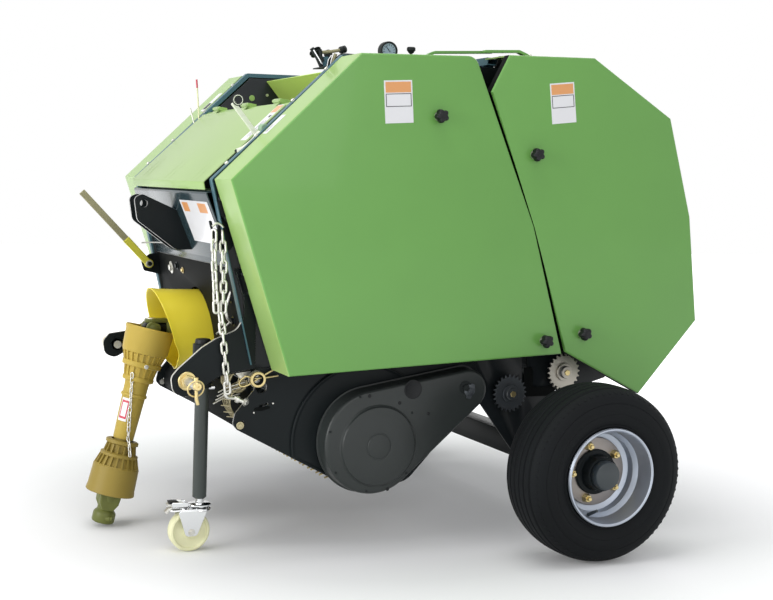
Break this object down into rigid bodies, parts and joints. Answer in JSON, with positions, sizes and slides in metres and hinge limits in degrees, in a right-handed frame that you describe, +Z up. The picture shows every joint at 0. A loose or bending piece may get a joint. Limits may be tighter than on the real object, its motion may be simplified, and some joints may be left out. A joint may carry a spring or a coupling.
{
  "type": "round baler",
  "caption": "Compact three-point round baler with green side covers, a roller chamber with a lifting tailgate, a pickup under it, two wheels and a castor jack.",
  "frame": {"origin": "middle of the whole outline on the floor, midway between the side covers", "axes": "-Y points to the tractor, +X to the machine's left side, +Z up"},
  "size_m": [1.46, 1.5036, 1.236],
  "materials": {
    "green": "gloss",
    "black": "satin",
    "dark_panel": "gloss",
    "yellow": "satin",
    "mustard": "satin",
    "olive": "satin",
    "zinc": "satin",
    "steel": "satin",
    "chrome_rod": "polished",
    "rim": "satin",
    "tyre": "matte",
    "nylon": "satin"
  },
  "bodies": {
    "frame": {"wall_left": "black", "wall_right": "black", "cross_frame": "black", "front_panel": "dark_panel", "lower_sheet": "black", "twine_box": "green", "hitch_plates": "black", "hitch_pins": "zinc", "top_link_bracket": "black", "gearbox": "black", "pto_guard": "yellow", "axle_beam": "black", "rollers_front": "steel", "pickup_frame": "black", "pickup_sheet": "black", "crop_bar": "black", "chain_guard": "black", "pickup_discs": "black", "jack_sleeve": "black", "wall_lugs": "black", "hinge_pins": "zinc", "door_hinges_front": "black", "lid_hinge": "black"},
    "floor_roller": {"floor_roller": "steel"},
    "pickup_reel": {"pickup_reel": "black", "tine_bars": "steel"},
    "tailgate": {"tail_wall_left": "black", "tail_wall_right": "black", "tail_frame": "black", "rollers_rear": "steel", "door_hinges_rear": "black"},
    "tail_roller": {"tail_roller": "steel"},
    "front_cover_left": {"front_cover_left": "green"},
    "front_cover_right": {"front_cover_right": "green"},
    "rear_cover_left": {"rear_cover_left": "green"},
    "rear_cover_right": {"rear_cover_right": "green"},
    "twine_lid": {"twine_lid": "green"},
    "ram_barrel_left": {"ram_barrel_left": "black"},
    "ram_barrel_right": {"ram_barrel_right": "black"},
    "ram_rod_left": {"ram_rod_left": "chrome_rod"},
    "ram_rod_right": {"ram_rod_right": "chrome_rod"},
    "wheel_left": {"tyre_left": "tyre", "rim_left": "rim"},
    "wheel_right": {"tyre_right": "tyre", "rim_right": "rim"},
    "jack_leg": {"jack_leg": "black"},
    "castor_fork": {"castor_fork": "zinc"},
    "castor_wheel": {"castor_wheel": "nylon"},
    "lever": {"lever": "olive"},
    "shaft_upper": {"shaft_upper": "mustard"},
    "shaft_lower": {"shaft_lower": "mustard"}
  },
  "joints": [
    {"name": "wheel_left_spin", "type": "hinge", "parent": "frame", "child": "wheel_left", "pos_m": [0.646, 0.3532, 0.218], "axis": [1, 0, 0], "continuous": true},
    {"name": "wheel_right_spin", "type": "hinge", "parent": "frame", "child": "wheel_right", "pos_m": [-0.646, 0.3532, 0.218], "axis": [1, 0, 0], "continuous": true},
    {"name": "jack_slide", "type": "slide", "parent": "frame", "child": "jack_leg", "axis": [0, 0, 1], "range_m": [0, 0.15]},
    {"name": "castor_swivel", "type": "hinge", "parent": "jack_leg", "child": "castor_fork", "pos_m": [0.29, -0.5408, 0.106], "axis": [0, 0, 1], "continuous": true},
    {"name": "castor_spin", "type": "hinge", "parent": "castor_fork", "child": "castor_wheel", "pos_m": [0.29, -0.5658, 0.05], "axis": [1, 0, 0], "continuous": true},
    {"name": "tailgate_lift", "type": "hinge", "parent": "frame", "child": "tailgate", "pos_m": [0, 0.0972, 1.18], "axis": [1, 0, 0], "range_deg": [0, 55]},
    {"name": "ram_left_swing", "type": "hinge", "parent": "frame", "child": "ram_barrel_left", "pos_m": [0.405, 0.0272, 0.64], "axis": [1, 0, 0], "range_deg": [0, 4.82]},
    {"name": "ram_left_slide", "type": "slide", "parent": "ram_barrel_left", "child": "ram_rod_left", "axis": [0, 0.5767, 0.817], "range_m": [0, 0.2386]},
    {"name": "ram_right_swing", "type": "hinge", "parent": "frame", "child": "ram_barrel_right", "pos_m": [-0.405, 0.0272, 0.64], "axis": [1, 0, 0], "range_deg": [0, 4.82]},
    {"name": "ram_right_slide", "type": "slide", "parent": "ram_barrel_right", "child": "ram_rod_right", "axis": [0, 0.5767, 0.817], "range_m": [0, 0.2386]},
    {"name": "front_cover_left_swing", "type": "hinge", "parent": "frame", "child": "front_cover_left", "pos_m": [0.376, -0.3968, 0.451], "axis": [0, 0.3225, -0.9466], "range_deg": [0, 75]},
    {"name": "front_cover_right_swing", "type": "hinge", "parent": "frame", "child": "front_cover_right", "pos_m": [-0.376, -0.3968, 0.451], "axis": [0, -0.3225, 0.9466], "range_deg": [0, 75]},
    {"name": "rear_cover_left_swing", "type": "hinge", "parent": "tailgate", "child": "rear_cover_left", "pos_m": [0.376, 0.7472, 0.572], "axis": [0, -0.1338, 0.991], "range_deg": [0, 75]},
    {"name": "rear_cover_right_swing", "type": "hinge", "parent": "tailgate", "child": "rear_cover_right", "pos_m": [-0.376, 0.7472, 0.572], "axis": [0, 0.1338, -0.991], "range_deg": [0, 75]},
    {"name": "twine_lid_swing", "type": "hinge", "parent": "frame", "child": "twine_lid", "pos_m": [0, -0.3538, 1.097], "axis": [-1, 0, 0], "range_deg": [0, 95]},
    {"name": "floor_roller_spin", "type": "hinge", "parent": "frame", "child": "floor_roller", "pos_m": [0, 0.26305, 0.3721], "axis": [1, 0, 0], "continuous": true},
    {"name": "tail_roller_spin", "type": "hinge", "parent": "tailgate", "child": "tail_roller", "pos_m": [0, 0.42426, 0.42417], "axis": [1, 0, 0], "continuous": true},
    {"name": "pickup_reel_spin", "type": "hinge", "parent": "frame", "child": "pickup_reel", "pos_m": [0, -0.1278, 0.26], "axis": [1, 0, 0], "continuous": true},
    {"name": "lever_swing", "type": "hinge", "parent": "frame", "child": "lever", "pos_m": [-0.331, -0.5178, 0.657], "axis": [1, 0, 0], "range_deg": [0, 40]},
    {"name": "shaft_swing", "type": "hinge", "parent": "frame", "child": "shaft_upper", "pos_m": [0, -0.5948, 0.51], "axis": [-1, 0, 0], "range_deg": [0, 72]},
    {"name": "shaft_telescope", "type": "slide", "parent": "shaft_upper", "child": "shaft_lower", "axis": [0, 0.2267, 0.974], "range_m": [0, 0.07]}
  ],
  "couplings": [
    {"joint": "ram_left_swing", "follows": "tailgate_lift", "ratio": 0.087422},
    {"joint": "ram_left_slide", "follows": "tailgate_lift", "m_per_rad": 0.24837},
    {"joint": "ram_right_swing", "follows": "tailgate_lift", "ratio": 0.087422},
    {"joint": "ram_right_slide", "follows": "tailgate_lift", "m_per_rad": 0.24837}
  ]
}
